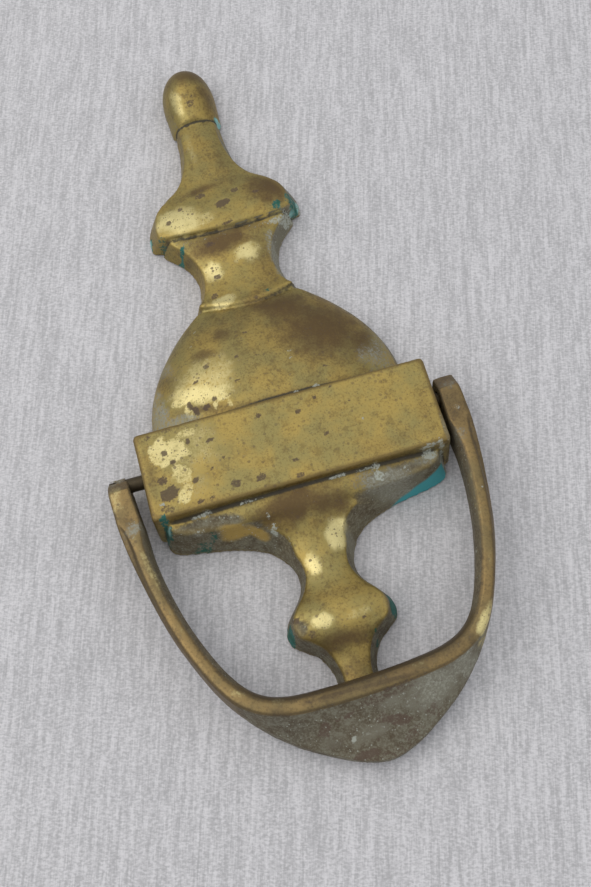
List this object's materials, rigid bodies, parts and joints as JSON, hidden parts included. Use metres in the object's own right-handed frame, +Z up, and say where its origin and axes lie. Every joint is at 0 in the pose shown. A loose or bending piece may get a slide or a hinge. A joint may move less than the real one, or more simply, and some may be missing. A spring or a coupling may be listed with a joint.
{
  "type": "urn door knocker",
  "caption": "Flat-backed urn door knocker in aged cast brass, with a swinging bail hung from the ends of its block on hinge pins and striking the urn's tail.",
  "frame": {"origin": "door plane behind the middle of the block, where the fixing bolts hold the casting to the door", "axes": "+Z up the door from the tail to the finial, -Y out of the door towards the visitor, +X to the visitor's right"},
  "size_m": [0.0904, 0.0156, 0.204],
  "materials": {
    "urn_brass": "aged yellow brass, worn bright on the raised parts, brown tarnish spots, green verdigris along the back edges",
    "bail_brass": "aged brass, worn ridge, grey-green grime with brown blotches on the leaf and lugs",
    "pin_brass": "dark tarnished"
  },
  "bodies": {
    "urn": {"urn_casting": "urn_brass", "hinge_pin_left": "pin_brass", "hinge_pin_right": "pin_brass"},
    "bail": {"bail": "bail_brass"}
  },
  "joints": [
    {"name": "bail_hinge", "type": "hinge", "parent": "urn", "child": "bail", "pos_m": [0, -0.008, 0.0022], "axis": [-1, 0, 0], "range_deg": [0, 172]}
  ]
}
